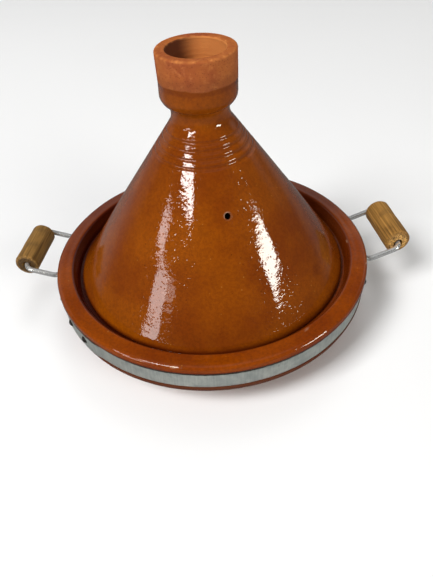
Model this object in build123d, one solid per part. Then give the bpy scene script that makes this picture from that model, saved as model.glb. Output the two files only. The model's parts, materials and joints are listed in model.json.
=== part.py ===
from build123d import *
from dataclasses import dataclass
from math import asin, atan, cos, degrees, hypot, pi, radians, sin, tan
import os

# Covered clay cooking dish: a shallow dish, a cone-shaped lid that seats inside its lip, a steel
# band round the dish, and two wire handles with loose wooden grips.
# Millimetres, +Z up. The origin is the centre of the dish's flat base. The handles point along
# -X and +X and are both set a few degrees towards +Y, the back. Azimuths are in degrees from +X.

# ---- dish ----
rim_radius = 150.0            # outside of the lip
rim_height = 60.0             # top of the lip
flange_width = 16.0           # top of the lip, from its outer side to its inner edge
lip_drop = 7.8                # height of the lip above the band's groove
lip_top_round = 4.0
lip_edge_round = 1.5
gallery_foot_radius = 129.5   # where the sloping wall inside the lip meets the ledge
ledge_height = 48.0           # flat step that carries the lid
bowl_radius = 120.0
bowl_corner = 32.0            # radius between the bowl's wall and its floor
floor_height = 9.5
base_radius = 110.0
base_angle = 24.0             # slope at which the underside leaves the base
shoulder_radius = 148.5       # bare clay just below the band
shoulder_height = 32.0
shoulder_start = (147.0, 27.5)
groove_radius = 146.9         # clay behind the band
band_groove_margin = 0.2      # between the band's lower edge and the clay shoulder
shoulder_round = 4.0
gallery_edge_round = 3.0
ledge_foot_round = 1.0
bowl_edge_round = 2.0

# ---- lid ----
lid_height = 250.0            # top of the knob when the lid is seated
lid_edge_radius = 127.0
lid_edge_height = 50.0        # height at which the cone starts
lid_edge_round = 2.0
lid_foot_radius = 126.5
lid_foot_round = 1.0
cone_taper = 0.698            # loss of radius per unit of height
lid_wall = 8.0                # square to the cone's surface
neck_start_height = 194.4
knob_crease = (25.4, 208.3)
knob_radius = 31.0
knob_side_start = 217.5
knob_top_radius = 31.5
knob_wall = 8.5
knob_round = 2.0
cup_floor_height = 222.0
cup_floor_round = 10.0
cup_taper = 1.5               # how much narrower the cup is at its foot than at its mouth
throwing_groove_top = 188.4
throwing_groove_pitch = 5.3
throwing_groove_count = 4
throwing_groove_round = 2.2
throwing_groove_depth = 0.5
steam_hole_radius = 2.4
steam_hole_height = 140.3
steam_hole_azimuth = -76.5

# ---- band ----
band_inner_radius = 147.0
band_thickness = 1.0
band_bottom = 34.0
band_width = 18.0
lap_inner_end = -137.0        # azimuth where the strip's covered end stops
lap_outer_end = -155.0        # azimuth where the covering end stops
lap_joggle_start = -132.0
lap_joggle_end = -135.5
lap_gap = 0.1                 # between the two layers
lap_rivet_azimuths = {"lap_rivet_side": -151.0, "lap_rivet_front": -141.0}

# ---- rivets ----
rivet_head_radius = 3.5
rivet_head_height = 2.0
rivet_shank_radius = 1.9
rivet_hole_radius = 1.95

# ---- handles ----
@dataclass
class Handle:
    """One handle; the two were bent and turned by hand and differ a little."""
    azimuth: float            # where its middle points
    towards_back: int         # +1 if a growing azimuth leads to the back, -1 if to the front
    rise: float               # tilt above horizontal
    leg_half_spacing: float
    grip_radius: float
    grip_length: float
    grip_offset: tuple        # grip's middle from the wire's axis, (outwards, up)


handles = {
    "right": Handle(6.3, 1, 17.5, 33.2, 12.5, 55.0, (-0.8, 1.9)),
    "left": Handle(171.0, -1, 15.2, 30.7, 11.7, 52.5, (0.0, 0.0)),
}
wire_radius = 2.5
grip_reach = 182.0            # dish axis to the wire's straight, measured level
grip_bend = 8.0               # centre-line radius of the bends beside the grip
foot_gap_angle = 1.5          # half the gap between the two turned-in feet
foot_bend_reach = 8.5         # from the end of a foot to the corner where it turns into its leg
plate_half_angle = 27.5
plate_rivet_angle = 24.5
plate_width = 16.0
plate_thickness = 1.0
channel_clearance = 0.1
channel_setback = 1.0         # angle by which the channel stops short of the foot's end
window_margin = 2.5           # angle by which the plate is open beyond the foot's end
window_half_height = 3.2
contact_gap = 0.05            # between curved faces that bear on each other

# ---- grips ----
grip_round = 2.0
bore_clearance = 0.08         # radial, between wire and bore
mouth_radius = 4.25
mouth_depth = 6.0

# ---- worked out from the driving dimensions ----
band_mid = band_bottom + band_width / 2
band_outer_radius = band_inner_radius + band_thickness
plate_inner_radius = band_outer_radius + contact_gap
plate_outer_radius = plate_inner_radius + plate_thickness
lap_rise = band_thickness + lap_gap
foot_radius = band_outer_radius + contact_gap + wire_radius
cone_half_angle = atan(cone_taper)
lid_wall_level = lid_wall / cos(cone_half_angle)


def direction(angle):
    """Unit vector in a section, angle in degrees above the outward radius."""
    return (cos(radians(angle)), sin(radians(angle)))


def polar(radius, azimuth, height=0.0):
    return Vector(radius * cos(radians(azimuth)), radius * sin(radians(azimuth)), height)


def radial_plane(radius, azimuth, height):
    """Plane whose Z axis points straight out from the dish axis."""
    return Plane(polar(radius, azimuth, height), x_dir=(0, 0, 1), z_dir=polar(1, azimuth))


def turned(section):
    """Full turn of a half section drawn in (radius, height)."""
    return revolve(section, Axis.Z)


def turned_arc(section, half_angle):
    """Part turn of a half section, centred on azimuth 0."""
    return revolve(section.rotate(Axis.Z, -half_angle), Axis.Z, 2 * half_angle)


def cone_radius(height):
    return lid_edge_radius - cone_taper * (height - lid_edge_height)


def dish():
    lip_bottom = rim_height - lip_drop
    groove_bottom = band_bottom - band_groove_margin
    with BuildSketch(Plane.XZ) as section:
        with BuildLine():
            Line((0, floor_height), (0, 0))
            Line((0, 0), (base_radius, 0))
            TangentArc((base_radius, 0), shoulder_start, tangent=direction(base_angle))
            side = FilletPolyline(
                shoulder_start,
                (shoulder_radius, shoulder_height),
                (shoulder_radius, groove_bottom),
                (groove_radius, groove_bottom),
                (groove_radius, lip_bottom),
                (rim_radius, lip_bottom),
                (rim_radius, rim_height),
                (rim_radius - flange_width, rim_height),
                (gallery_foot_radius, ledge_height),
                (bowl_radius, ledge_height),
                (bowl_radius, floor_height + bowl_corner),
                radius=[
                    shoulder_round, 0, 0, 0, lip_edge_round,
                    lip_top_round, gallery_edge_round, ledge_foot_round, bowl_edge_round,
                ],
            )
            TangentArc(side @ 1, (bowl_radius - bowl_corner, floor_height), tangent=(0, -1))
            Line((bowl_radius - bowl_corner, floor_height), (0, floor_height))
        make_face()
    return turned(section.sketch)


def lid():
    lid_inner_radius = lid_edge_radius + cone_taper * (lid_edge_height - ledge_height) - lid_wall_level
    neck_start = (cone_radius(neck_start_height), neck_start_height)
    apex_start = (neck_start[0] - lid_wall_level, neck_start_height)
    apex = (0, neck_start_height + apex_start[0] * tan(pi / 4 - cone_half_angle / 2))
    cup_mouth_radius = knob_top_radius - knob_wall
    cup_side = (cup_mouth_radius - cup_taper, cup_floor_height)
    with BuildSketch(Plane.XZ) as section:
        with BuildLine():
            Line(apex, (0, cup_floor_height))
            knob = FilletPolyline(
                (0, cup_floor_height),
                cup_side,
                (cup_mouth_radius, lid_height),
                (knob_top_radius, lid_height),
                (knob_radius, knob_side_start),
                radius=[cup_floor_round, knob_round, knob_round],
            )
            TangentArc(knob @ 1, knob_crease, tangent=(0, -1))
            TangentArc(neck_start, knob_crease, tangent=(-cone_taper, 1))
            edge = FilletPolyline(
                neck_start,
                (lid_edge_radius, lid_edge_height),
                (lid_foot_radius, ledge_height),
                (lid_inner_radius, ledge_height),
                apex_start,
                radius=[lid_edge_round, lid_foot_round, lid_foot_round],
            )
            TangentArc(edge @ 1, apex, tangent=(-cone_taper, 1))
        make_face()
    shell = turned(section.sketch)
    for index in range(throwing_groove_count):
        height = throwing_groove_top - index * throwing_groove_pitch
        ring_radius = cone_radius(height) + throwing_groove_round - throwing_groove_depth
        shell -= Pos(0, 0, height) * Torus(ring_radius, throwing_groove_round)
    outward = polar(1, steam_hole_azimuth) + Vector(0, 0, cone_taper)
    hole_plane = Plane(
        polar(cone_radius(steam_hole_height), steam_hole_azimuth, steam_hole_height), z_dir=outward
    )
    return shell - hole_plane * Cylinder(steam_hole_radius, lid_wall * 3)


def rim_band():
    """One strip bent into a ring, whose end steps out and covers its own start."""
    covered_outer = band_outer_radius
    cover_inner = band_inner_radius + lap_rise
    cover_outer = band_outer_radius + lap_rise
    around = lap_joggle_start - lap_inner_end - 360
    covering = lap_outer_end - lap_joggle_end
    with BuildSketch() as outline:
        with BuildLine():
            Line(polar(band_inner_radius, lap_inner_end), polar(covered_outer, lap_inner_end))
            CenterArc((0, 0), covered_outer, lap_inner_end, around)
            Line(polar(covered_outer, lap_joggle_start), polar(cover_outer, lap_joggle_end))
            CenterArc((0, 0), cover_outer, lap_joggle_end, covering)
            Line(polar(cover_outer, lap_outer_end), polar(cover_inner, lap_outer_end))
            CenterArc((0, 0), cover_inner, lap_joggle_end, covering)
            Line(polar(cover_inner, lap_joggle_end), polar(band_inner_radius, lap_joggle_start))
            CenterArc((0, 0), band_inner_radius, lap_inner_end, around)
        make_face()
    strip = Pos(0, 0, band_bottom) * extrude(outline.sketch, band_width)
    for azimuth in [*lap_rivet_azimuths.values(), *plate_rivet_azimuths().values()]:
        strip -= rivet_hole(azimuth)
    return strip


def plate_rivet_azimuths():
    azimuths = {}
    for side, handle in handles.items():
        step = handle.towards_back * plate_rivet_angle
        azimuths[f"plate_rivet_{side}_front"] = handle.azimuth - step
        azimuths[f"plate_rivet_{side}_back"] = handle.azimuth + step
    return azimuths


def rivet_hole(azimuth):
    return radial_plane(band_outer_radius, azimuth, band_mid) * Cylinder(rivet_hole_radius, band_width)


def rivet(azimuth):
    """Domed head on the outer layer, shank through both layers and flush inside."""
    seat_radius = band_outer_radius + lap_rise
    shank_length = seat_radius - band_inner_radius - contact_gap
    dome_radius = (rivet_head_radius**2 + rivet_head_height**2) / (2 * rivet_head_height)
    dome = Pos(0, 0, rivet_head_height - dome_radius) * Sphere(dome_radius)
    head = dome & Pos(0, 0, rivet_head_height / 2) * Cylinder(rivet_head_radius, rivet_head_height)
    shank = Pos(0, 0, -shank_length / 2) * Cylinder(rivet_shank_radius, shank_length)
    return radial_plane(seat_radius, azimuth, band_mid) * (head + shank)


def foot_end_angle(handle):
    """Azimuth of a foot's end that puts the leg at its spacing after the bend."""
    reach = hypot(foot_radius, foot_bend_reach)
    return degrees(asin(handle.leg_half_spacing / reach) - atan(foot_bend_reach / foot_radius))


def leg_direction(handle):
    return Vector(cos(radians(handle.rise)), 0, sin(radians(handle.rise)))


def grip_corner(handle):
    """Where the line of a leg meets the line of the wire's straight, handle along azimuth 0."""
    leg = leg_direction(handle)
    angle = foot_end_angle(handle)
    bend_corner = polar(foot_radius, angle, band_mid) + polar(foot_bend_reach, angle + 90)
    return bend_corner + leg * ((grip_reach - bend_corner.X) / leg.X)


def handle_wire(handle):
    """Wire along azimuth 0: a foot, a leg, half the grip's straight, then the same mirrored."""
    leg = leg_direction(handle)
    angle = foot_end_angle(handle)
    foot_end = polar(foot_radius, angle, band_mid)
    foot_tangent = polar(1, angle + 90)
    leg_start = foot_end + (foot_tangent + leg) * foot_bend_reach
    corner = grip_corner(handle)
    leg_end = corner - leg * grip_bend
    straight_start = corner - Vector(0, grip_bend, 0)
    half = [
        CenterArc((0, 0, band_mid), foot_radius, foot_gap_angle, angle - foot_gap_angle),
        TangentArc(foot_end, leg_start, tangent=foot_tangent),
        Line(leg_start, leg_end),
        TangentArc(leg_end, straight_start, tangent=leg),
        Line(straight_start, (corner.X, 0, corner.Z)),
    ]
    path = Wire([*half, *[edge.mirror(Plane.XZ) for edge in half]])
    return sweep(Plane(path @ 0, z_dir=path % 0) * Circle(wire_radius), path=path)


def keeper_plate(handle):
    """Curved strip along azimuth 0, pressed out in the middle into a channel over the feet."""
    channel_inner = wire_radius + channel_clearance
    channel_outer = channel_inner + plate_thickness
    flat = band_section(plate_inner_radius, plate_outer_radius, plate_width / 2)
    window = band_section(band_inner_radius, foot_radius, window_half_height)
    channel = channel_section(channel_outer) - channel_section(channel_inner)
    foot_angle = foot_end_angle(handle)
    plate = turned_arc(flat, plate_half_angle) - turned_arc(window, foot_angle + window_margin)
    plate += turned_arc(channel, foot_angle - channel_setback)
    for angle in (-plate_rivet_angle, plate_rivet_angle):
        plate -= rivet_hole(angle)
    return plate


def band_section(inner_radius, outer_radius, half_height):
    """Upright rectangle in the section plane, centred on the band's middle height."""
    width = outer_radius - inner_radius
    middle = (inner_radius + outer_radius) / 2
    return Plane.XZ * Pos(middle, band_mid) * Rectangle(width, 2 * half_height)


def channel_section(half_height):
    """Rounded rib that stands out from the plate's inner face round the wire."""
    rib = Plane.XZ * Pos(foot_radius, band_mid) * Circle(half_height)
    neck = band_section(plate_inner_radius, foot_radius, half_height)
    beyond = band_section(plate_inner_radius, foot_radius + 2 * half_height, 2 * half_height)
    return (rib + neck) & beyond


def grip(handle):
    """Turned grip round the wire's straight, with a wider mouth at each end of its bore."""
    outwards, up = handle.grip_offset
    body = Cylinder(handle.grip_radius, handle.grip_length)
    body = fillet(body.edges().filter_by(GeomType.CIRCLE), grip_round)
    body = Pos(outwards, up, 0) * body
    body -= Cylinder(wire_radius + bore_clearance, handle.grip_length)
    for end in (-1, 1):
        mouth_middle = end * (handle.grip_length - mouth_depth) / 2
        body -= Pos(0, 0, mouth_middle) * Cylinder(mouth_radius, mouth_depth)
    corner = grip_corner(handle)
    return Pos(corner.X, 0, corner.Z) * Rot(90, 0, 0) * body


def all_parts():
    parts = {"dish": dish(), "lid": lid(), "rim_band": rim_band()}
    for name, azimuth in {**lap_rivet_azimuths, **plate_rivet_azimuths()}.items():
        parts[name] = rivet(azimuth)
    for side, handle in handles.items():
        place = Rot(0, 0, handle.azimuth)
        parts[f"handle_wire_{side}"] = place * handle_wire(handle)
        parts[f"keeper_plate_{side}"] = place * keeper_plate(handle)
        parts[f"grip_{side}"] = place * grip(handle)
        axis_point = polar(grip_reach, handle.azimuth, grip_corner(handle).Z)
        print(f"grip_{side} turns about", [round(value, 3) for value in axis_point])
    return parts


os.makedirs("parts", exist_ok=True)
for name, shape in all_parts().items():
    export_step(shape, f"parts/{name}.step")
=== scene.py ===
import json
import math

import bpy
import numpy as np
from mathutils import Matrix, Vector


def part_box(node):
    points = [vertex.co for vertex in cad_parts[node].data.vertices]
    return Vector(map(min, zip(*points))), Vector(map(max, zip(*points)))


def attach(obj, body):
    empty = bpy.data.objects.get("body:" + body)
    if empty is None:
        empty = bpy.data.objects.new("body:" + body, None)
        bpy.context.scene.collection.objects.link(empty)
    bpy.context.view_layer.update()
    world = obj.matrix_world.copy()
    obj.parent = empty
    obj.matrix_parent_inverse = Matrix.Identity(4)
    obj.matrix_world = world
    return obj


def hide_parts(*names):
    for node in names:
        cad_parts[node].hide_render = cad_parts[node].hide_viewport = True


# A covered clay cooking dish with a steel band and two wire handles with wooden grips.
# Metres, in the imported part's frame: +Z up, the base's centre at the origin, the front towards -Y.
# The clay pieces, the band and the grips are rebuilt here as fine meshes with the marks of hand
# work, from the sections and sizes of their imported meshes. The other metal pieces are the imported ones.

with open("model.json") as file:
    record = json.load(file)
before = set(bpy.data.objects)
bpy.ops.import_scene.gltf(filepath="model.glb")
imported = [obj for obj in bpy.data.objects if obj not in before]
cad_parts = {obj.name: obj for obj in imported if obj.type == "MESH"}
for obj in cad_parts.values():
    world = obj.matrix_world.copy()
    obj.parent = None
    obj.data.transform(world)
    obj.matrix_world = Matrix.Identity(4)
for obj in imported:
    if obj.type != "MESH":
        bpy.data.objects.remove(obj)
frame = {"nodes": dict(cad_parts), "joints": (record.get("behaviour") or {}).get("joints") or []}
nodes = frame["nodes"]
joints = {joint["name"]: joint for joint in frame["joints"]}
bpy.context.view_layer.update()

mm = 0.001
seam_tolerance = 0.001 * mm
random = np.random.default_rng(7)


# ---- numbers ----
def smooth(value, low, high):
    """0 below low, 1 above high, and an S-shaped step between."""
    share = np.clip((value - low) / (high - low), 0, 1)
    return share * share * (3 - 2 * share)


def ripples(count, around, along):
    """A smooth random function of azimuth and of distance along an outline, about -1 to 1.

    around is the least and greatest number of waves round the piece, and along the least and
    greatest number of waves per metre of outline."""
    lobes = random.integers(around[0], around[1] + 1, count)
    pace = random.uniform(*along, count) * random.choice([-1, 1], count)
    phase = random.uniform(0, 2 * math.pi, count)

    def value(azimuth, distance):
        total = 0
        for wave in range(count):
            turn = lobes[wave] * azimuth + 2 * math.pi * pace[wave] * distance
            total = total + np.cos(turn + phase[wave])
        return total / math.sqrt(count)

    return value


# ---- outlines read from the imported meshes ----
def half_section(node, start):
    """Outline of a turned CAD node in the half plane y = 0, x > 0, as (radius, height) in order."""
    mesh = nodes[node].data
    on_seam = {}
    for vertex in mesh.vertices:
        if abs(vertex.co.y) < seam_tolerance and vertex.co.x > -seam_tolerance:
            on_seam[vertex.index] = (round(vertex.co.x, 6), round(vertex.co.z, 6))
    joined = {point: set() for point in on_seam.values()}
    for edge in mesh.edges:
        a, b = (on_seam.get(index) for index in edge.vertices)
        if a and b and a != b:
            joined[a].add(b)
            joined[b].add(a)
    path = [min(joined, key=lambda point: math.dist(point, start))]
    left = set(joined) - {path[0]}
    while left:
        near = joined[path[-1]] & left or left
        path.append(min(near, key=lambda point: math.dist(point, path[-1])))
        left.discard(path[-1])
    return path


def finer(path, longest):
    """The same outline, with points added so that no step is over the longest."""
    points = [path[0]]
    for a, b in zip(path, path[1:]):
        count = max(1, math.ceil(math.dist(a, b) / longest))
        for step in range(1, count + 1):
            share = step / count
            points.append(tuple(p + (q - p) * share for p, q in zip(a, b)))
    return np.array(points)


def outline_normals(outline):
    """Unit normals of an outline, away from the clay, which lies on its left."""
    along = np.gradient(outline, axis=0)
    along /= np.linalg.norm(along, axis=1)[:, None]
    return np.stack([along[:, 1], -along[:, 0]], axis=1)


def outline_distance(outline):
    """Length of the outline up to each of its points."""
    steps = np.linalg.norm(np.diff(outline, axis=0), axis=1)
    return np.concatenate([[0], np.cumsum(steps)])


# ---- meshes ----
def turned_points(outline, push, shift=0.0):
    """Grid of points of an outline turned round Z. push moves each out of the clay, shift along X."""
    normals = outline_normals(outline)
    radius = outline[:, :1] + normals[:, :1] * push
    height = outline[:, 1:] + normals[:, 1:] * push
    x = radius * np.cos(round_azimuths) + np.reshape(shift, (-1, 1))
    y = radius * np.sin(round_azimuths)
    return np.stack([x, y, np.broadcast_to(height, x.shape)], axis=2)


def grid_indices(rows, columns, poles):
    """Vertex number of each grid point. With poles, the first and last row are one vertex each."""
    if not poles:
        return np.arange(rows * columns).reshape(rows, columns)
    index = np.zeros((rows, columns), int)
    index[1:-1] = 1 + np.arange((rows - 2) * columns).reshape(rows - 2, columns)
    index[-1] = 1 + (rows - 2) * columns
    return index


def grid_faces(index, skipped=()):
    """Faces between rows of the grid. skipped are (row, row, column, column) windows left open."""
    rows, columns = index.shape
    faces = []
    for row in range(rows - 1):
        near, far = index[row], index[row + 1]
        for column in range(columns):
            if any(a <= row < b and c <= column < d for a, b, c, d in skipped):
                continue
            beside = (column + 1) % columns
            corners = [near[column], near[beside], far[beside], far[column]]
            faces.append([int(corner) for corner in dict.fromkeys(corners)])
    return faces


def mesh_object(name, vertices, faces, materials, sharp_angle=50):
    mesh = bpy.data.meshes.new(name)
    mesh.from_pydata([tuple(v) for v in vertices], [], faces)
    mesh.validate()
    mesh.shade_smooth()
    mesh.set_sharp_from_angle(angle=math.radians(sharp_angle))
    for material in materials:
        mesh.materials.append(material)
    made = bpy.data.objects.new(name, mesh)
    bpy.context.scene.collection.objects.link(made)
    return made


def point_attribute(piece, name, values):
    attribute = piece.data.attributes.new(name, "FLOAT", "POINT")
    attribute.data.foreach_set("value", np.asarray(values, np.float32))


def vertex_places(piece):
    places = np.zeros(len(piece.data.vertices) * 3)
    piece.data.vertices.foreach_get("co", places)
    return places.reshape(-1, 3)


# ---- node graphs ----
class Graph:
    """The nodes of a material or world, and short calls that each add one and return its output."""

    def __init__(self, holder):
        holder.use_nodes = True
        self.holder = holder
        self.tree = holder.node_tree
        self.tree.nodes.clear()

    def add(self, kind, inputs, **settings):
        """One shader node. inputs are values or links for its sockets, settings its own properties."""
        node = self.tree.nodes.new("ShaderNode" + kind)
        for key, value in settings.items():
            setattr(node, key, value)
        for key, value in inputs.items():
            if isinstance(value, bpy.types.NodeSocket):
                self.tree.links.new(value, node.inputs[key])
            else:
                node.inputs[key].default_value = value
        return node

    def place(self):
        return self.add("TexCoord", {}).outputs["Object"]

    def axes(self, vector):
        return self.add("SeparateXYZ", {0: vector}).outputs

    def scaled(self, vector, scale):
        return self.add("VectorMath", {0: vector, 1: scale}, operation="MULTIPLY").outputs[0]

    def noise(self, vector, scale, detail=3.0, roughness=0.5):
        inputs = {"Vector": vector, "Scale": scale, "Detail": detail, "Roughness": roughness}
        return self.add("TexNoise", inputs).outputs["Fac"]

    def cells(self, vector, scale, output="Distance"):
        return self.add("TexVoronoi", {"Vector": vector, "Scale": scale}).outputs[output]

    def attribute(self, name):
        return self.add("Attribute", {}, attribute_name=name).outputs["Fac"]

    def span(self, value, low, high, start=0.0, end=1.0):
        """start where value is low, end where it is high, and a smooth step between."""
        inputs = {0: value, 1: low, 2: high, 3: start, 4: end}
        return self.add("MapRange", inputs, interpolation_type="SMOOTHSTEP").outputs[0]

    def maths(self, operation, a, b=0.0):
        return self.add("Math", {0: a, 1: b}, operation=operation).outputs[0]

    def weighted(self, *terms):
        """Sum of (value, weight) pairs."""
        total = self.maths("MULTIPLY", *terms[0])
        for value, weight in terms[1:]:
            inputs = {0: value, 1: weight, 2: total}
            total = self.add("Math", inputs, operation="MULTIPLY_ADD").outputs[0]
        return total

    def mix(self, factor, a, b):
        return self.add("Mix", {0: factor, 6: a, 7: b}, data_type="RGBA").outputs[2]

    def bump(self, height, depth):
        return self.add("Bump", {"Height": height, "Distance": depth, "Strength": 1.0}).outputs[0]

    def principled(self, inputs):
        return self.add("BsdfPrincipled", inputs).outputs[0]

    def finish(self, shader):
        self.add("OutputMaterial", {"Surface": shader})
        return self.holder


def material_graph(name):
    return Graph(bpy.data.materials.new(name))


def colour(red, green, blue):
    return (red, green, blue, 1.0)


# ---- materials ----
lid_glaze = (colour(0.185, 0.034, 0.0003), colour(0.258, 0.0575, 0.0004))
dish_glaze = (colour(0.182, 0.028, 0.0003), colour(0.248, 0.046, 0.0004))
glaze_iron = colour(0.050, 0.010, 0.001)
# Dark glaze for where it lies thick, also used as painted shade.
glaze_pooled_and_shade = colour(0.056, 0.004, 0.0006)
glaze_edge = colour(0.42, 0.27, 0.17)
glaze_fleck = colour(0.45, 0.19, 0.03)
clay_orange = colour(0.37, 0.105, 0.024)
clay_red = colour(0.27, 0.062, 0.019)
clay_pale = colour(0.60, 0.220, 0.060)
# Dark clay for grit and stains, also used as painted shade.
clay_burnt_and_shade = colour(0.085, 0.022, 0.009)


def glaze_shader(graph, place, wear_and_painted_light, deep, thin):
    """Runny orange-brown glaze with iron specks, pale flecks and pinholes.

    Its darkening attribute marks where the glaze lies thick and dark, and also painted shade: in recesses,
    under the lip, on the dish's back half and at the lid's foot."""
    cloud = graph.span(graph.noise(place, 16.0, 3.0, 0.6), 0.35, 0.66)
    mottle = graph.span(graph.noise(place, 380.0, 3.0, 0.8), 0.36, 0.66)
    body = graph.mix(cloud, deep, thin)
    body = graph.mix(graph.maths("MULTIPLY", mottle, 0.30), body, glaze_iron)
    specks = graph.span(graph.cells(place, 170.0), 0.05, 0.12, 1.0, 0.0)
    rare = graph.span(graph.noise(place, 45.0, 2.0), 0.52, 0.60)
    body = graph.mix(graph.weighted((graph.maths("MULTIPLY", specks, rare), 0.7)), body, glaze_iron)
    flecks = graph.span(graph.cells(place, 130.0), 0.05, 0.10, 1.0, 0.0)
    spread = graph.span(graph.noise(place, 33.0, 2.0), 0.50, 0.60)
    body = graph.mix(graph.weighted((graph.maths("MULTIPLY", flecks, spread), 0.5)), body, glaze_fleck)
    # Thick glaze, and painted shade in hollows, under the lip and on the dish's back, from the mesh's
    # attribute.
    pooled_and_shade = graph.weighted((graph.attribute("pooled_and_shade"), 0.93))
    body = graph.mix(pooled_and_shade, body, glaze_pooled_and_shade)
    body = graph.mix(wear_and_painted_light, body, glaze_edge)
    pinholes = graph.span(graph.cells(place, 400.0), 0.08, 0.34, -1.0, 0.0)
    sparse = graph.span(graph.noise(place, 150.0, 2.0), 0.40, 0.62)
    pinholes = graph.maths("MULTIPLY", pinholes, sparse)
    peel = graph.noise(place, 700.0, 1.0, 0.5)
    swell = graph.noise(place, 260.0, 1.0, 0.5)
    skin = graph.bump(graph.weighted((peel, 0.20), (pinholes, 0.35), (swell, 0.45)), 0.16 * mm)
    under = graph.bump(graph.weighted((peel, 0.5), (swell, 1.0)), 0.05 * mm)
    return graph.principled({
        "Base Color": body,
        "Roughness": 0.6,
        "Specular IOR Level": 0.03,
        "Normal": under,
        "Coat Weight": 1.0,
        "Coat IOR": 1.5,
        "Coat Roughness": 0.03,
        "Coat Normal": skin,
    })


def clay_shader(graph, place, wear_and_painted_light):
    """Bare fired clay: fine sand, pale and red patches, and the lines that a rib leaves.

    One attribute darkens it, for stains and for painted shade, and another pales it, for rubbed wear and,
    in the knob's cup, painted light."""
    patches = graph.span(graph.noise(place, 38.0, 3.0, 0.6), 0.38, 0.66)
    body = graph.mix(patches, clay_orange, clay_red)
    dust = graph.span(graph.noise(place, 210.0, 4.0, 0.7), 0.48, 0.78, 0.0, 0.45)
    body = graph.mix(dust, body, clay_pale)
    grit = graph.span(graph.cells(place, 620.0), 0.12, 0.30, 0.55, 0.0)
    body = graph.mix(grit, body, clay_burnt_and_shade)
    flat = graph.scaled(place, (60.0, 60.0, 900.0))
    lines = graph.noise(flat, 1.0, 3.0, 0.6)
    body = graph.mix(graph.span(lines, 0.5, 0.75, 0.0, 0.35), body, clay_red)
    # Stains and painted shade, from the mesh's attribute.
    body = graph.mix(graph.attribute("pooled_and_shade"), body, clay_burnt_and_shade)
    # Rubbed wear, and painted light on the right and back side of the knob's cup.
    body = graph.mix(wear_and_painted_light, body, clay_pale)
    sand = graph.noise(place, 1300.0, 2.0, 0.6)
    relief = graph.weighted((lines, 1.4), (sand, 0.8), (grit, -0.8))
    return graph.principled({
        "Base Color": body,
        "Roughness": 0.88,
        "Specular IOR Level": 0.2,
        "Normal": graph.bump(relief, 0.16 * mm),
    })


def glaze_material():
    graph = material_graph("orange_glaze")
    place = graph.place()
    return graph.finish(glaze_shader(graph, place, graph.attribute("wear_and_painted_light"), *dish_glaze))


def clay_material():
    graph = material_graph("bare_clay")
    place = graph.place()
    return graph.finish(clay_shader(graph, place, graph.attribute("wear_and_painted_light")))


def lid_material():
    """Glaze on the cone, running out in a wavy line on the side of the knob, and bare clay above.

    The attribute bare is where there is no glaze either: in the knob's cup."""
    graph = material_graph("lid_glaze_and_clay")
    place = graph.place()
    wear_and_painted_light = graph.attribute("wear_and_painted_light")
    height = graph.axes(place)["Z"]
    wander = graph.noise(place, 55.0, 2.0, 0.5)
    line = graph.weighted((wander, 4.0 * mm), (height, 1.0))
    bare = graph.span(line, glaze_line_height + 1.2 * mm, glaze_line_height + 2.8 * mm)
    bare = graph.maths("MAXIMUM", bare, graph.attribute("bare"))
    mixed = graph.add("MixShader", {
        0: bare,
        1: glaze_shader(graph, place, wear_and_painted_light, *lid_glaze),
        2: clay_shader(graph, place, wear_and_painted_light),
    })
    return graph.finish(mixed.outputs[0])


zinc_light = colour(0.60, 0.62, 0.57)
zinc_dark = colour(0.33, 0.36, 0.35)
# Dirt colour, also used as painted shadow under the lip.
zinc_dirt_and_shadow = colour(0.035, 0.026, 0.016)
zinc_painted_shade = colour(0.10, 0.085, 0.06)
zinc_lip_shadow_height = 49.3 * mm


def zinc_material():
    """Galvanised sheet: dull blue-grey crystals, faint upright streaks and some grime, with a painted
    shadow along its top edge under the lip and painted shade at its left end.
    """
    graph = material_graph("galvanised_sheet")
    place = graph.place()
    crystals = graph.add("TexVoronoi", {"Vector": place, "Scale": 260.0}).outputs["Color"]
    crystal = graph.axes(crystals)["X"]
    cloud = graph.span(graph.noise(place, 70.0, 4.0, 0.65), 0.32, 0.70)
    upright = graph.scaled(place, (800.0, 800.0, 45.0))
    streak = graph.span(graph.noise(upright, 1.0, 2.0, 0.6), 0.35, 0.75)
    tone = graph.weighted((crystal, 0.28), (cloud, 0.45), (streak, 0.30))
    body = graph.mix(tone, zinc_dark, zinc_light)
    grime = graph.span(graph.noise(place, 160.0, 4.0, 0.7), 0.60, 0.82, 0.0, 0.7)
    body = graph.mix(grime, body, zinc_dirt_and_shadow)
    # Painted shade: darker at the band's left end, from the mesh's attribute.
    body = graph.mix(graph.attribute("painted_band_shade"), body, zinc_painted_shade)
    # Painted shadow: a dark ragged strip along the band's top edge, under the lip.
    ragged = graph.noise(place, 240.0, 3.0, 0.6)
    height = graph.weighted((ragged, 1.6 * mm), (graph.axes(place)["Z"], 1.0))
    painted_lip_shadow_on_band = graph.span(height, zinc_lip_shadow_height, zinc_lip_shadow_height + 1.0 * mm)
    body = graph.mix(painted_lip_shadow_on_band, body, zinc_dirt_and_shadow)
    roughness = graph.weighted((crystal, 0.10), (cloud, -0.08), (grime, 0.3), (1.0, 0.42))
    relief = graph.weighted((cloud, 0.5), (streak, 0.25), (crystal, 0.12))
    shader = graph.principled({
        "Base Color": body,
        "Metallic": 0.5,
        "Roughness": roughness,
        "Normal": graph.bump(relief, 0.10 * mm),
    })
    return graph.finish(shader)


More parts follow.
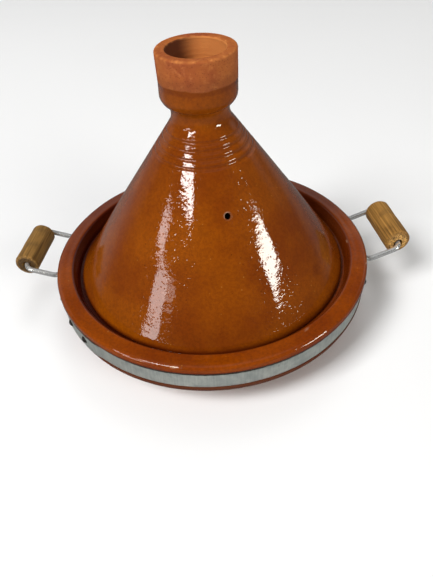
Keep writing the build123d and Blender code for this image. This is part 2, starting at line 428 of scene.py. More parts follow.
def wire_material():
    """Bright drawn wire with a soft haze, fine scratches and a few dull stains."""
    graph = material_graph("bright_wire")
    place = graph.place()
    stain = graph.span(graph.noise(place, 190.0, 4.0, 0.7), 0.56, 0.76)
    scratches = graph.noise(place, 900.0, 2.0, 0.6)
    body = graph.mix(stain, colour(0.90, 0.905, 0.89), colour(0.66, 0.645, 0.61))
    roughness = graph.weighted((stain, 0.18), (scratches, 0.08), (1.0, 0.14))
    shader = graph.principled({
        "Base Color": body,
        "Metallic": 0.80,
        "Roughness": roughness,
        "Normal": graph.bump(scratches, 0.006 * mm),
    })
    return graph.finish(shader)


def rivet_material():
    """Plain steel rivet, gone dark, with worn bright spots."""
    graph = material_graph("dark_rivet_steel")
    place = graph.place()
    worn = graph.span(graph.noise(place, 420.0, 3.0, 0.6), 0.52, 0.72)
    body = graph.mix(worn, colour(0.045, 0.04, 0.036), colour(0.20, 0.17, 0.14))
    hammered = graph.noise(place, 700.0, 1.0)
    shader = graph.principled({
        "Base Color": body,
        "Metallic": 0.8,
        "Roughness": graph.span(worn, 0.0, 1.0, 0.62, 0.38),
        "Normal": graph.bump(hammered, 0.25 * mm),
    })
    return graph.finish(shader)


def wood_material(name, dark, light, pore, end_grain):
    """Turned wood. The grip's length is the object's own Z, and the tree's heart lies beside it."""
    graph = material_graph(name)
    place = graph.place()
    heart = graph.add("VectorMath", {0: place, 1: (11 * mm, 6 * mm, 0.0)}, operation="ADD").outputs[0]
    squeezed = graph.scaled(heart, (1.0, 1.0, 0.10))
    drift = graph.noise(squeezed, 130.0, 3.0, 0.6)
    axes = graph.axes(squeezed)
    out = graph.add("CombineXYZ", {0: axes["X"], 1: axes["Y"], 2: 0.0}).outputs[0]
    radius = graph.add("VectorMath", {0: out}, operation="LENGTH").outputs["Value"]
    ring = graph.weighted((radius, 520.0), (drift, 1.5))
    ring = graph.maths("PINGPONG", ring, 0.5)
    ring = graph.span(ring, 0.06, 0.40)
    along = graph.scaled(place, (800.0, 800.0, 14.0))
    fibre = graph.span(graph.noise(along, 1.0, 1.0, 0.4), 0.36, 0.66)
    stripe = graph.scaled(place, (480.0, 480.0, 14.0))
    stripe = graph.span(graph.noise(stripe, 1.0, 2.0, 0.5), 0.36, 0.64)
    vessels = graph.cells(graph.scaled(place, (620.0, 620.0, 12.0)), 1.0)
    vessels = graph.span(vessels, 0.14, 0.34, 1.0, 0.0)
    tone = graph.weighted((ring, 0.30), (fibre, 0.35), (stripe, 0.35))
    body = graph.mix(tone, dark, light)
    body = graph.mix(graph.maths("MULTIPLY", vessels, 0.8), body, pore)
    handled = graph.span(graph.noise(place, 70.0, 3.0, 0.6), 0.50, 0.72, 0.0, 0.35)
    body = graph.mix(handled, body, pore)
    cut_end = graph.attribute("cut_end")
    pith = graph.span(graph.noise(place, 900.0, 2.0, 0.7), 0.38, 0.62)
    body = graph.mix(cut_end, body, graph.mix(pith, pore, end_grain))
    relief = graph.weighted((fibre, 0.6), (vessels, -1.0), (ring, 0.25))
    shader = graph.principled({
        "Base Color": body,
        "Roughness": graph.span(handled, 0.0, 0.35, 0.62, 0.48),
        "Specular IOR Level": 0.35,
        "Normal": graph.bump(relief, 0.14 * mm),
    })
    return graph.finish(shader)


def floor_material():
    graph = material_graph("pale_floor")
    place = graph.place()
    tone = graph.noise(place, 3.0, 2.0)
    body = graph.mix(tone, colour(0.86, 0.86, 0.86), colour(0.88, 0.88, 0.88))
    inputs = {"Base Color": body, "Roughness": 0.9, "Specular IOR Level": 0.1}
    return graph.finish(graph.principled(inputs))


# ---- clay ----
far_below = (0.0, -1.0)             # the outline point nearest to it is the lowest
columns_round = 232                 # points round a turned clay mesh
outline_step = 1.6 * mm             # longest step along an outline
disc_step = 6.0 * mm                # the same where it is flat and plain
round_azimuths = np.arange(columns_round) * 2 * math.pi / columns_round

lip_round = 4.0 * mm                # radius of the lip's outer edge
lip_width = 14.0 * mm               # from its outer side to the inner end of its flat top
glaze_line_height = 228.0 * mm      # on the side of the knob
cup_height = 220.0 * mm             # below the floor of the knob's cup
knob_foot_height = 208.0 * mm
knob_mouth_radius = 23.0 * mm
knob_shift = -0.4 * mm              # along X, from a neck that was thrown a little out of true
cone_shift = 0.5 * mm

steam_hole_radius = 2.6 * mm
steam_hole_azimuth = math.radians(-76.5)
steam_hole_height = 140.3 * mm
window_cells = 8                    # grid cells left open for the hole, each way

# Worn spots on top of the knob's rim, as (radius, azimuth in degrees, size).
knob_rim_chips = [
    (31 * mm, -118, 2.2 * mm),
    (31 * mm, -95, 1.4 * mm),
    (31 * mm, -71, 1.6 * mm),
    (31 * mm, -30, 1.5 * mm),
    (31 * mm, 40, 2.0 * mm),
    (31 * mm, 118, 1.8 * mm),
    (31 * mm, 170, 2.4 * mm),
    (23.6 * mm, -80, 1.2 * mm),
    (23.6 * mm, 20, 1.4 * mm),
]
# Worn spots on the dish's lip, as (distance in from its outer side, azimuth, depth below its top, size).
dish_lip_chips = [
    (13 * mm, -57, 0.0, 1.6 * mm),
    (16 * mm, -2, 2 * mm, 1.8 * mm),
    (1.5 * mm, -104, 1.5 * mm, 1.3 * mm),
    (1.5 * mm, 64, 1.5 * mm, 1.6 * mm),
    (1.2 * mm, 151, 2 * mm, 1.5 * mm),
]


def chip_wear(places, chips):
    """Wear from 0 to 1 at each place, from chips given as (centre, size)."""
    wear_and_painted_light = np.zeros(len(places))
    for centre, size in chips:
        distance = np.linalg.norm(places - np.array(centre), axis=1)
        wear_and_painted_light = np.maximum(wear_and_painted_light, 1 - smooth(distance, 0.4 * size, size))
    return wear_and_painted_light


def polar(radius, azimuth_deg, height):
    azimuth = math.radians(azimuth_deg)
    return (radius * math.cos(azimuth), radius * math.sin(azimuth), height)


def closed_vertices(points):
    """Vertices of a grid whose first and last row are one vertex each, as grid_indices has them."""
    return [points[0, 0], *points[1:-1].reshape(-1, 3), points[-1, 0]]


def dish_outline():
    """From the middle of the base, out over the lip and in to the middle of the bowl's floor."""
    low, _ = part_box("dish")
    path = half_section("dish", far_below)
    floor_height = path[-1][1]
    return np.concatenate([
        finer([(0.0, low.z), path[0]], disc_step),
        finer(path, outline_step)[1:],
        finer([path[-1], (0.0, floor_height)], disc_step)[1:],
    ])


def dish_free(radius, height):
    """How freely the clay may differ from its section, 0 to 1: not at the base, the band or the lid."""
    low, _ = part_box("dish")
    band_low, band_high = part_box("rim_band")
    lid_low, lid_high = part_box("lid")
    free = smooth(height, band_high.z + 0.2 * mm, band_high.z + 3 * mm)
    inside = radius < -band_low.x - 20 * mm
    free = np.maximum(free, inside * smooth(np.abs(height - lid_low.z), 0.2 * mm, 3 * mm))
    free = free * smooth(height, low.z, low.z + 4 * mm)
    under = smooth(height, 0.5 * mm, 5 * mm)
    under = under * (1 - smooth(height, band_low.z - 9 * mm, band_low.z - 4 * mm))
    return np.maximum(free, under * (radius > lid_high.x * 0.8) * 0.6)


def dish_push(outline):
    """How far the clay stands out of its section, never above 0: hand work and a flattened lip edge."""
    _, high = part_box("dish")
    distance = outline_distance(outline)[:, None]
    radius, height = outline[:, :1], outline[:, 1:]
    wobble = ripples(7, (1, 4), (0, 8))(round_azimuths, distance)
    lumps = ripples(26, (5, 26), (5, 30))(round_azimuths, distance)
    throwing = ripples(9, (0, 1), (90, 230))(round_azimuths, distance)
    free = dish_free(radius, height)
    push = free * (0.12 * mm * wobble + 0.07 * mm * lumps + 0.05 * mm * throwing)
    push = np.minimum(push - free * 0.30 * mm, 0)
    edge_radius, edge_height = high.x - lip_round, high.z - lip_round
    edge_angle = np.arctan2(height - edge_height, radius - edge_radius)
    flattened = np.clip(1 - ((edge_angle - math.radians(45)) / math.radians(20)) ** 2, 0, 1) ** 2
    return push - 0.10 * mm * flattened * (height > edge_height) * (radius > edge_radius)


def dish_pooled_and_shade(places):
    """Where the dish is darkened: thick glaze and painted shade in the gallery, painted shade over the
    back half and under the lip, and stain and painted shade on the clay below the band.
    """
    _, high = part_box("dish")
    band_low, band_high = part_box("rim_band")
    reach = np.hypot(places[:, 0], places[:, 1])
    back = places[:, 1] / reach.clip(1 * mm)
    left = -places[:, 0] / reach.clip(1 * mm)
    height = places[:, 2]
    lip_inside = high.x - lip_width
    # Thick glaze and painted shade: darker in the gallery between the lid and the lip, most at the left.
    gallery_pool_and_shade = (1 - smooth(reach, lip_inside - 1.4 * mm, lip_inside)) * (height > band_low.z)
    gallery_pool_and_shade = gallery_pool_and_shade * (0.55 + 0.45 * smooth(left, -0.6, 0.3))
    gallery_pool_and_shade = gallery_pool_and_shade * smooth(reach, 118 * mm, 122 * mm)
    # Painted shade: the back half of the dish is darkened, more at the back left.
    painted_back_shade = 0.22 * smooth(back, -0.1, 0.6)
    painted_back_shade = painted_back_shade + 0.15 * smooth(left, 0.0, 0.5) * (painted_back_shade > 0)
    # Painted shadow: a dark strip along the lip's lower edge, just above the band.
    lip_bottom = band_high.z + 0.1 * mm
    painted_lip_shadow = 1 - smooth(height, lip_bottom + 1.0 * mm, lip_bottom + 2.6 * mm)
    painted_lip_shadow = 0.9 * (reach > 140 * mm) * painted_lip_shadow
    # Stain and painted shade: the bare clay below the band is darkened.
    stain_and_shade = 0.55 * (height < band_low.z + 1 * mm)
    return np.maximum.reduce([gallery_pool_and_shade, painted_back_shade, painted_lip_shadow, stain_and_shade])


def bare_dish_faces(piece):
    """Gives the second material, bare clay, to the faces behind the band and underneath."""
    _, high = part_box("dish")
    band_low, band_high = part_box("rim_band")
    for face in piece.data.polygons:
        centre = face.center
        reach = math.hypot(centre.x, centre.y)
        behind_band = reach > high.x - 4 * mm and centre.z < band_high.z + 0.1 * mm
        if behind_band or face.normal.z < -0.2 and centre.z < band_low.z:
            face.material_index = 1


def dish_piece(glaze, clay):
    _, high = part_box("dish")
    outline = dish_outline()
    points = turned_points(outline, dish_push(outline))
    index = grid_indices(len(outline), columns_round, poles=True)
    piece = mesh_object("clay_dish", closed_vertices(points), grid_faces(index), [glaze, clay])
    bare_dish_faces(piece)
    places = vertex_places(piece)
    chips = []
    for inset, turn, depth, size in dish_lip_chips:
        chips.append((polar(high.x - inset, turn, high.z - depth), size))
    point_attribute(piece, "wear_and_painted_light", chip_wear(places, chips) * 0.8)
    point_attribute(piece, "pooled_and_shade", dish_pooled_and_shade(places))
    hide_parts("dish")
    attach(piece, "base")
    return piece


def on_grid(points, row, column):
    """Point of the grid's surface at a row and column that need not be whole."""
    i, j = int(row), int(column)
    s, t = row - i, column - j
    near = (1 - t) * points[i, j] + t * points[i, j + 1]
    far = (1 - t) * points[i + 1, j] + t * points[i + 1, j + 1]
    return (1 - s) * near + s * far


class Wall:
    """One side of the lid's wall where the steam hole comes through it.

    up is 1 where the grid's rows go up the lid, and -1 where they go down."""

    def __init__(self, points, row, column, up):
        self.points, self.row, self.column, self.up = points, row, column, up
        step_round = on_grid(points, row, column + 0.5) - on_grid(points, row, column - 0.5)
        step_up = (on_grid(points, row + 0.5, column) - on_grid(points, row - 0.5, column)) * up
        self.size_round, self.size_up = np.linalg.norm(step_round), np.linalg.norm(step_up)
        self.normal = np.cross(step_round, step_up)
        self.normal /= np.linalg.norm(self.normal)
        half = window_cells // 2
        self.low_row, self.low_column = int(round(row)) - half, int(round(column)) - half

    def window(self):
        """The cells left open, as (low row, high row, low column, high column)."""
        high_row, high_column = self.low_row + window_cells, self.low_column + window_cells
        return (self.low_row, high_row, self.low_column, high_column)

    def outline(self):
        """Grid places round the window, anticlockwise as seen from outside, from its lower left."""
        low_row, high_row, low_column, high_column = self.window()
        bottom, top = (low_row, high_row) if self.up > 0 else (high_row, low_row)
        rise = 1 if top > bottom else -1
        places = [(bottom, column) for column in range(low_column, high_column)]
        places += [(row, high_column) for row in range(bottom, top, rise)]
        places += [(top, column) for column in range(high_column, low_column, -1)]
        places += [(row, low_column) for row in range(top, bottom, -rise)]
        return places

    def angle(self, place):
        """Direction of a grid place as seen from the hole's middle."""
        row, column = place
        rise = (row - self.row) * self.up * self.size_up
        return math.atan2(rise, (column - self.column) * self.size_round)

    def ring(self, angles, radius, share, depth=0.0):
        """Points on the way from the window's outline (share 0) to a circle (share 1)."""
        made = []
        for (row, column), angle in zip(self.outline(), angles):
            circle_row = self.row + self.up * radius * math.sin(angle) / self.size_up
            circle_column = self.column + radius * math.cos(angle) / self.size_round
            place = (row + (circle_row - row) * share, column + (circle_column - column) * share)
            made.append(on_grid(self.points, *place) - self.normal * depth)
        return made


def wall_thickness():
    """Of the lid's cone, square to it: the distance between the two lines of its section."""
    path = half_section("lid", (0.0, knob_foot_height))
    steps = [(math.dist(a, b), a, b) for a, b in zip(path, path[1:])]
    steps.sort(key=lambda step: -step[0])
    inner, outer = [], []
    for _, a, b in steps[:8]:
        (inner if b[1] < a[1] else outer).append((a, b))
    (inner_start, inner_end), (outer_start, _) = inner[0], outer[0]
    run = np.array(inner_end) - np.array(inner_start)
    gap = np.array(outer_start) - np.array(inner_start)
    return abs(run[0] * gap[1] - run[1] * gap[0]) / np.linalg.norm(run)


def steam_hole_walls(outline, points):
    """The outer and the inner side of the lid's wall at the steam hole."""
    foot_row = int(np.argmax(outline[:, 0]))
    column = (steam_hole_azimuth % (2 * math.pi)) / (2 * math.pi) * columns_round
    row = float(np.interp(steam_hole_height, outline[foot_row:, 1], np.arange(foot_row, len(outline))))
    outer = Wall(points, row, column, 1)
    far = on_grid(points, row, column) - outer.normal * wall_thickness()
    gaps = [np.linalg.norm(on_grid(points, r, column) - far) for r in range(1, foot_row)]
    inner = Wall(points, 1.0 + int(np.argmin(gaps)), column, -1)
    return outer, inner


def steam_hole_rings(outer, inner):
    """Rings from the outer window's outline through the hole to the inner window's outline."""
    angles = [outer.angle(place) for place in outer.outline()]
    mouth = steam_hole_radius + 0.7 * mm
    rings = [outer.ring(angles, mouth, share) for share in (0.3, 0.6, 0.85, 1.0)]
    for widening, depth in ((0.4, 0.08), (0.15, 0.3), (0.02, 0.7), (0.0, 1.3)):
        rings.append(outer.ring(angles, steam_hole_radius + widening * mm, 1.0, depth * mm))
    rings += [inner.ring(angles, steam_hole_radius, share) for share in (1.0, 0.7, 0.35)]
    return rings


def steam_hole_faces(index, outer, inner, vertices):
    """Faces between the two windows. The vertices of their rings are added to the list."""
    loops = [[int(index[place]) for place in outer.outline()]]
    for ring in steam_hole_rings(outer, inner):
        loops.append(list(range(len(vertices), len(vertices) + len(ring))))
        vertices += ring
    loops.append([int(index[place]) for place in inner.outline()])
    faces = []
    for near, far in zip(loops, loops[1:]):
        for here in range(len(near)):
            beside = (here + 1) % len(near)
            faces.append([near[here], near[beside], far[beside], far[here]])
    return faces


def lid_outline():
    """From the top of the hollow, down inside, up over the cone and the knob to its cup's middle."""
    path = half_section("lid", (0.0, knob_foot_height))
    cup_floor = path[-1][1]
    return np.concatenate([
        finer(path, outline_step),
        finer([path[-1], (0.0, cup_floor)], disc_step / 3)[1:],
    ])


def lid_push(outline):
    """How far the clay stands out of its section, from throwing, turning and handling."""
    low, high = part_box("lid")
    distance = outline_distance(outline)[:, None]
    radius, height = outline[:, :1], outline[:, 1:]
    wobble = ripples(6, (1, 3), (0, 6))(round_azimuths, distance)
    lumps = ripples(30, (4, 22), (4, 26))(round_azimuths, distance)
    throwing = ripples(9, (0, 1), (80, 220))(round_azimuths, distance)
    turning = ripples(12, (0, 1), (250, 520))(round_azimuths, distance)
    on_knob = smooth(height, knob_foot_height, knob_foot_height + 8 * mm)
    free = smooth(height, low.z + 1.5 * mm, low.z + 12 * mm)
    top_free = 1 - 0.6 * smooth(height, high.z - 3 * mm, high.z)
    share = np.clip(radius / (90 * mm), 0.3, 1)
    push = share * (0.20 * mm * wobble + (0.035 + 0.10 * on_knob) * mm * lumps)
    in_cup = (height > cup_height) * (radius < knob_mouth_radius)
    push = push + 0.012 * mm * throwing * (1 - on_knob) + (0.05 + 0.12 * in_cup) * mm * turning * on_knob
    push = (push - 0.12 * mm) * free * top_free
    lower_left = np.cos(round_azimuths - math.radians(-150))
    belly = np.exp(-(((height - 216 * mm) / (6 * mm)) ** 2)) * np.clip(lower_left, 0, 1) ** 2
    return push + 0.5 * mm * belly * (radius > 20 * mm)


def lid_shift(outline):
    """How far the cone and then the knob lie to one side."""
    low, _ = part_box("lid")
    height = outline[:, 1:]
    shift = cone_shift * smooth(height, low.z, low.z + 20 * mm)
    return shift + (knob_shift - cone_shift) * smooth(height, 190 * mm, 205 * mm)


def lid_in_cup(places):
    reach = np.hypot(places[:, 0] - knob_shift, places[:, 1])
    return (reach < knob_mouth_radius + 0.5 * mm) * (places[:, 2] > cup_height)


def steam_hole_wear(places, middle, normal):
    """The hole's edge, rubbed pale at its upper left."""
    offset = places - middle
    depth = -(offset @ normal)
    from_axis = np.linalg.norm(offset + np.outer(depth, normal), axis=1)
    around = smooth(from_axis, steam_hole_radius + 1.3 * mm, steam_hole_radius + 0.4 * mm)
    upper_left = offset @ np.array([-0.6, 0.0, 0.8]) / steam_hole_radius
    return around * (depth < 2 * mm) * (0.1 + 0.6 * np.clip(upper_left, 0, 1))


def knob_wear_and_lit_side(places, outline):
    """Chips on the knob's rim, its two rubbed edges, and painted light that pales the right and back side
    of its cup.
    """
    _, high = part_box("lid")
    chips = [(polar(radius, turn, high.z), size) for radius, turn, size in knob_rim_chips]
    wear_and_painted_light = chip_wear(places, chips) * 0.7
    reach = np.hypot(places[:, 0] - knob_shift, places[:, 1])
    turn = np.arctan2(places[:, 1], places[:, 0])
    rubbed = 0.25 + 0.35 * ripples(30, (2, 38), (0, 1))(turn, 0.0)
    rim_radius = outline[:, 0][outline[:, 1] > high.z - 1 * mm].max()
    for edge in (rim_radius, knob_mouth_radius):
        from_edge = np.hypot(reach - edge, places[:, 2] - high.z)
        near_edge = np.exp(-((from_edge / (1.3 * mm)) ** 2))
        wear_and_painted_light = np.maximum(wear_and_painted_light, np.clip(rubbed, 0.05, 0.7) * near_edge)
    # Painted light: the cup's right and back side is paled, where light falls into it.
    right_back = smooth(np.cos(turn - math.radians(40)), 0.0, 0.9)
    pale = lid_in_cup(places) * (0.05 + 0.85 * right_back)
    return np.maximum(wear_and_painted_light, pale)


def lid_pooled_and_shade(places):
    """Where the lid is darkened: smudges, thick glaze by its line on the knob, painted shade in the cup's
    left side and at the foot, and the cone's lower front.
    """
    low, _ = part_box("lid")
    reach = np.hypot(places[:, 0] - knob_shift, places[:, 1])
    turn = np.arctan2(places[:, 1], places[:, 0])
    height = places[:, 2]
    smudges = [(polar(107 * mm, -33, 74 * mm), 9 * mm), (polar(102 * mm, -27, 82 * mm), 6 * mm)]
    smudged = 0.35 * chip_wear(places, smudges)
    above_line = 1 - smooth(height, glaze_line_height + 3 * mm, glaze_line_height + 12 * mm)
    above_line = 0.3 * above_line * (height > glaze_line_height - 3 * mm) * (reach > 26 * mm)
    # Painted shade: the left side of the knob's cup is darkened.
    painted_cup_shade = lid_in_cup(places) * smooth(np.cos(turn - math.radians(165)), -0.1, 0.6)
    # Painted shade: the lid's foot, down in the gap inside the dish's lip, is darkened.
    painted_foot_shade = 0.8 * (1 - smooth(height, low.z + 2.5 * mm, low.z + 5.5 * mm))
    # Darker low on the front of the cone.
    lower_front = 0.16 * smooth(np.cos(turn + math.radians(85)), 0.6, 0.95)
    lower_front = lower_front * (1 - smooth(height, 90 * mm, 150 * mm))
    return np.maximum.reduce([smudged, above_line, painted_cup_shade, painted_foot_shade, lower_front])


def lid_piece(material):
    _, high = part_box("lid")
    outline = lid_outline()
    points = turned_points(outline, lid_push(outline), lid_shift(outline))
    points[:, :, 2] = np.minimum(points[:, :, 2], high.z)
    index = grid_indices(len(outline), columns_round, poles=True)
    vertices = closed_vertices(points)
    outer, inner = steam_hole_walls(outline, points)
    faces = grid_faces(index, skipped=[outer.window(), inner.window()])
    faces += steam_hole_faces(index, outer, inner, vertices)
    piece = mesh_object("clay_lid", vertices, faces, [material], sharp_angle=60)
    places = vertex_places(piece)
    hole_middle = on_grid(points, outer.row, outer.column)
    hole_wear = steam_hole_wear(places, hole_middle, outer.normal)
    point_attribute(piece, "wear_and_painted_light", np.maximum(knob_wear_and_lit_side(places, outline), hole_wear))
    point_attribute(piece, "bare", lid_in_cup(places))
    point_attribute(piece, "pooled_and_shade", lid_pooled_and_shade(places))
    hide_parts("lid")
    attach(piece, "lid")
    return piece


# ---- band ----
band_covered_end = math.radians(-137.0)     # azimuth of the end under the lap, where the strip starts
band_joggle_start = math.radians(-492.0)    # azimuths a turn further on
band_joggle_end = math.radians(-495.5)
band_covering_end = math.radians(-515.0)
band_column_angle = math.radians(1) * 0.8   # from one section to the next
band_edge_round = 0.25 * mm
band_rows = 10


def band_outline(thickness, width):
    """Section of the strip about its middle, (outwards, up), anticlockwise, with rounded edges."""
    x, z, r = thickness / 2, width / 2, band_edge_round
    side = [(x, -z + r + (2 * z - 2 * r) * i / band_rows) for i in range(band_rows + 1)]
    corner = 0.7 * r
    top = [(x - r + corner, z - r + corner), (x - r, z), (-x + r, z), (-x + r - corner, z - r + corner)]
    inner = [(-a, -b) for a, b in side]
    bottom = [(-a, -b) for a, b in top]
    return [*side, *top, *inner, *bottom]


def band_sizes():
    """Inner radius, thickness and step at the lap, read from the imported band."""
    radii = sorted({round(math.hypot(v.co.x, v.co.y), 5) for v in nodes["rim_band"].data.vertices})
    inner, outermost = radii[0], radii[-1]
    back = [v.co for v in nodes["rim_band"].data.vertices if v.co.y > 0]
    outer = max(math.hypot(co.x, co.y) for co in back)
    return inner, outer - inner, outermost - outer


def band_piece(material):
    low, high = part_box("rim_band")
    width, middle_height = high.z - low.z, (low.z + high.z) / 2
    inner_radius, thickness, lap_rise = band_sizes()
    count = int(abs(band_covering_end - band_covered_end) / band_column_angle)
    azimuths = np.linspace(band_covered_end, band_covering_end, count + 1)
    on_lap = smooth(-azimuths, -band_joggle_start, -band_joggle_end)
    radii = inner_radius + thickness / 2 + lap_rise * on_lap
    section = band_outline(thickness, width)
    wave = ripples(12, (3, 14), (0, 1))(azimuths, 0.0) * 0.10 * mm
    points = np.zeros((len(azimuths), len(section), 3))
    for i, (azimuth, radius) in enumerate(zip(azimuths, radii)):
        for j, (out, up) in enumerate(section):
            edge = abs(up) / width * 2
            lowered = abs(wave[i] * edge) if up > 0 else 0.0
            points[i, j] = (
                (radius + out) * math.cos(azimuth),
                (radius + out) * math.sin(azimuth),
                middle_height + up - lowered,
            )
    index = grid_indices(len(azimuths), len(section), poles=False)
    faces = grid_faces(index)
    faces.append([int(i) for i in index[0]][::-1])
    faces.append([int(i) for i in index[-1]])
    piece = mesh_object("steel_band", points.reshape(-1, 3), faces, [material], sharp_angle=70)
    places = vertex_places(piece)
    turn = np.arctan2(places[:, 1], places[:, 0])
    # Painted shade: darkens the band's left end.
    point_attribute(piece, "painted_band_shade", 0.18 * smooth(np.cos(turn - math.radians(-140)), 0.80, 0.96))
    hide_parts("rim_band")
    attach(piece, "base")
    return piece


# ---- grips ----
grip_columns = 72
grip_step = 1.2 * mm
grip_edge_round = 2.2 * mm
grip_edge_points = 5


def grip_place(joint):
    """Matrix whose Z is the joint's axis and whose Y is up."""
    axis = Vector(joint["axis"]).normalized()
    up = Vector((0, 0, 1))
    across = up.cross(axis)
    return Matrix([
        [across.x, up.x, axis.x, joint["pos_m"][0]],
        [across.y, up.y, axis.y, joint["pos_m"][1]],
        [across.z, up.z, axis.z, joint["pos_m"][2]],
        [0, 0, 0, 1],
    ])


def grip_sizes(side, place):
    """Middle of the section, radius, half length, bore, and the mouth's radius and depth, as packed."""
    co = np.array([place.inverted() @ v.co for v in nodes[f"grip_{side}"].data.vertices])
    lows, highs = co.min(0), co.max(0)
    centre = (lows + highs)[:2] / 2
    radius = (highs - lows)[1] / 2
    half = (highs - lows)[2] / 2
    from_axis = np.hypot(co[:, 0], co[:, 1])
    bore = from_axis.min()
    mouth = sorted(from_axis[np.abs(co[:, 2]) > half - 0.2 * mm])[0]
    on_mouth_floor = (from_axis > bore + 1 * mm) & (from_axis < mouth + 0.1 * mm)
    mouth_depth = half - np.abs(co[on_mouth_floor][:, 2]).min()
    return centre, radius, half, bore, mouth, mouth_depth


def grip_rings(radius, half, bore, mouth, mouth_depth):
    """(height, radius, share) of each ring, closed into a loop through the bore.

    The share is 1 where a ring is round the grip's own middle, and 0 where it is round the wire."""
    edge = grip_edge_round
    side_steps = int((half - edge) * 2 / grip_step)
    rings = []
    for k in range(side_steps + 1):
        rings.append((-half + edge + (half - edge) * 2 * k / side_steps, radius, 1.0))
    for k in range(1, grip_edge_points + 1):
        turn = math.pi / 2 * k / grip_edge_points
        rings.append((half - edge * (1 - math.sin(turn)), radius - edge * (1 - math.cos(turn)), 1.0))
    face_radius = radius - edge
    for share in (0.25, 0.5, 0.75):
        rings.append((half, face_radius + (mouth + 0.4 * mm - face_radius) * share, 1 - share))
    rings += [(half, mouth + 0.3 * mm, 0.0), (half - 0.3 * mm, mouth, 0.0)]
    rings += [(half - mouth_depth, mouth, 0.0), (half - mouth_depth, bore, 0.0), (0.0, bore, 0.0)]
    return rings + [(-z, r, share) for z, r, share in reversed(rings[side_steps + 1:-1])]


def grip_piece(side, material):
    """Turned grip. Its length is the object's Z, which is the joint's axis."""
    place = grip_place(joints[f"grip_{side}_turn"])
    centre, radius, half, bore, mouth, mouth_depth = grip_sizes(side, place)
    rings = grip_rings(radius, half, bore, mouth, mouth_depth)
    azimuth = np.arange(grip_columns) * 2 * math.pi / grip_columns
    dents = ripples(26, (2, 9), (10, 60))
    points = np.zeros((len(rings), grip_columns, 3))
    for i, (z, r, share) in enumerate(rings):
        outer = smooth(r, mouth + 0.5 * mm, mouth + 3 * mm)
        push = outer * np.minimum(0.07 * mm * dents(azimuth, z) - 0.10 * mm, 0)
        sunk = outer * (abs(z) > half - 0.5 * mm) * np.abs(push)
        points[i, :, 0] = centre[0] * share + (r + push) * np.cos(azimuth)
        points[i, :, 1] = centre[1] * share + (r + push) * np.sin(azimuth)
        points[i, :, 2] = z - math.copysign(1, z) * sunk
    index = grid_indices(len(rings), grip_columns, poles=False)
    faces = grid_faces(np.vstack([index, index[:1]]))
    piece = mesh_object(f"wood_grip_{side}", points.reshape(-1, 3), faces, [material], sharp_angle=40)
    piece.matrix_world = place
    ends = np.repeat([share < 1 and r > mouth for z, r, share in rings], grip_columns)
    point_attribute(piece, "cut_end", ends * 0.85)
    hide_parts(f"grip_{side}")
    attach(piece, f"grip_{side}")
    return piece


# ---- stage ----
camera_place = (0.0, -0.40564, 0.38585)
camera_pitch = math.radians(43.25)
camera_yaw = math.radians(0.404)
camera_roll = math.radians(-3.909)
camera_lens = 32.943


def set_camera():
    ahead = Vector((
        math.sin(camera_yaw) * math.cos(camera_pitch),
        math.cos(camera_yaw) * math.cos(camera_pitch),
        -math.sin(camera_pitch),
    ))
    level = Vector((math.cos(camera_yaw), -math.sin(camera_yaw), 0))
    right = Matrix.Rotation(-camera_roll, 3, ahead) @ level
    top = right.cross(ahead)
    data = bpy.data.cameras.new("camera")
    data.lens = camera_lens
    data.clip_start = 0.01
    camera = bpy.data.objects.new("camera", data)
    bpy.context.scene.collection.objects.link(camera)
    columns = Matrix([right, top, -ahead]).transposed()
    camera.matrix_world = Matrix.Translation(camera_place) @ columns.to_4x4()
    bpy.context.scene.camera = camera


def direction(azimuth_deg, elevation_deg):
    azimuth, elevation = math.radians(azimuth_deg), math.radians(elevation_deg)
    level = math.cos(elevation)
    return Vector((level * math.cos(azimuth), level * math.sin(azimuth), math.sin(elevation)))


def spanned(distance, angles):
    """Width that fills these two angles, in degrees, at this distance."""
    return 2 * distance * math.tan(math.radians(abs(angles[1] - angles[0]) / 2))


def panel(name, aim, azimuths, elevations, distance, radiance, tint, mirrored):
    """A soft light that fills these azimuths and elevations, in degrees, as seen from aim.

    A mirrored one is what the glaze and the metal reflect. The others only light what they fall on."""
    azimuth, elevation = sum(azimuths) / 2, sum(elevations) / 2
    width = spanned(distance, azimuths) * math.cos(math.radians(elevation))
    height = spanned(distance, elevations)
    data = bpy.data.lights.new(name, "AREA")
    data.shape = "RECTANGLE"
    data.size, data.size_y = width, height
    data.energy = radiance * math.pi * width * height
    data.color = tint
    light = bpy.data.objects.new(name, data)
    bpy.context.scene.collection.objects.link(light)
    towards = direction(azimuth, elevation)
    light.location = Vector(aim) + towards * distance
    light.rotation_mode = "QUATERNION"
    light.rotation_quaternion = towards.to_track_quat("Z", "Y")
    light.visible_glossy = mirrored
    light.visible_diffuse = not mirrored
    light.visible_camera = False
    return light


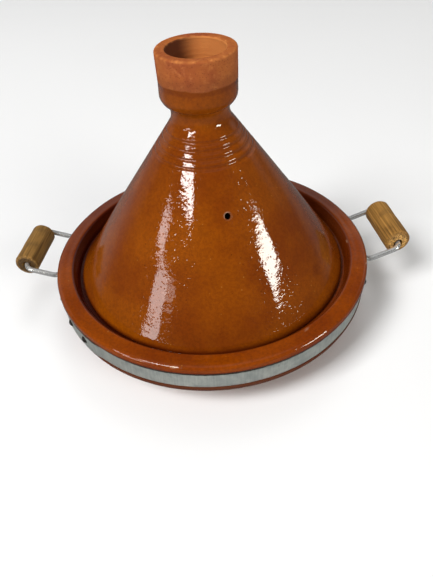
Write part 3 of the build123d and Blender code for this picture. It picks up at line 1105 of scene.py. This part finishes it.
def set_lights():
    high, left, right = (-0.015, -0.05, 0.155), (-0.044, -0.08, 0.10), (0.048, -0.08, 0.10)
    near = 1.8
    panel("window_high", high, (-146, -117), (32.6, 37.6), near, 26.0, (1.0, 0.95, 0.91), True)
    panel("window_middle", left, (-161, -150), (21.5, 27), near, 8.5, (1.0, 0.92, 0.90), True)
    panel("window_low", left, (-150, -137), (13, 22.5), near, 7.5, (1.0, 0.92, 0.90), True)
    panel("window_side", left, (-138, -129), (19.5, 23), near, 3.5, (1.0, 0.90, 0.84), True)
    panel("window_right", right, (-36, -17), (15.8, 23.5), near, 24.0, (1.0, 1.0, 0.90), True)
    middle = (0.0, 0.1, 0.05)
    far = 4.5
    panel("key", middle, (-160, -130), (36, 60), far, 20.0, (1.0, 1.0, 1.0), False)
    panel("fill_right", middle, (-65, -35), (14, 38), far, 6.5, (1.0, 0.99, 0.95), False)
    panel("fill_front", middle, (-100, -70), (50, 74), far, 1.5, (1.0, 1.0, 1.0), False)
    panel("fill_back", middle, (55, 95), (50, 74), far, 2.5, (1.0, 1.0, 1.0), False)


def set_world():
    """Dim room for the reflections, and a pale backdrop for the camera."""
    world = bpy.data.worlds.new("studio")
    bpy.context.scene.world = world
    graph = Graph(world)
    towards = graph.add("TexCoord", {}).outputs["Generated"]
    axes = graph.axes(towards)
    below = graph.span(axes["Z"], -0.12, 0.0, 1.0, 0.0)
    zenith = graph.span(axes["Z"], 0.80, 0.95)
    behind = graph.span(axes["Y"], 0.2, 0.5)
    back = graph.maths("MULTIPLY", behind, graph.span(axes["Z"], 0.56, 0.68, 1.0, 0.0))
    back = graph.maths("MULTIPLY", back, graph.span(axes["Z"], 0.0, 0.3))
    low_left = graph.maths("MULTIPLY", graph.span(axes["X"], -0.7, -0.3, 1.0, 0.0), behind)
    low_left = graph.maths("MULTIPLY", low_left, graph.span(axes["Z"], 0.0, 0.15, 1.0, 0.0))
    level = graph.weighted((below, 0.10), (zenith, 0.22), (back, 0.33), (low_left, 0.12), (1.0, 0.05))
    room = graph.add("Background", {"Color": colour(1.0, 1.0, 1.0), "Strength": level}).outputs[0]
    backdrop = graph.add("Background", {"Color": colour(0.93, 0.93, 0.93), "Strength": 1.0}).outputs[0]
    seen = graph.add("LightPath", {}).outputs["Is Camera Ray"]
    both = graph.add("MixShader", {0: seen, 1: room, 2: backdrop}).outputs[0]
    graph.add("OutputWorld", {"Surface": both})


def set_floor():
    """A pale disc, just below the base so that the two don't share a plane."""
    radius, step_deg, height = 3.2, 4, -0.2 * mm
    corners = [polar(radius, turn, height) for turn in range(0, 360, step_deg)]
    floor = mesh_object("floor", corners, [list(range(len(corners)))], [floor_material()])
    floor.visible_glossy = False


def reassign(node, material):
    nodes[node].data.materials.clear()
    nodes[node].data.materials.append(material)


def build():
    glaze, clay = glaze_material(), clay_material()
    zinc, wire, rivet = zinc_material(), wire_material(), rivet_material()
    dish_piece(glaze, clay)
    lid_piece(lid_material())
    band_piece(zinc)
    brown = (colour(0.085, 0.042, 0.010), colour(0.360, 0.190, 0.048), colour(0.022, 0.010, 0.002))
    grip_piece("left", wood_material("wood_brown", *brown, colour(0.100, 0.052, 0.018)))
    yellow = (colour(0.150, 0.068, 0.012), colour(0.420, 0.210, 0.048), colour(0.050, 0.020, 0.004))
    grip_piece("right", wood_material("wood_yellow", *yellow, colour(0.850, 0.470, 0.130)))
    for name in nodes:
        if name.startswith("handle_wire"):
            reassign(name, wire)
        elif name.startswith("keeper_plate"):
            reassign(name, zinc)
        elif "rivet" in name:
            reassign(name, rivet)


build()
set_floor()
set_lights()
set_world()
set_camera()
bpy.context.scene.view_settings.view_transform = "Standard"
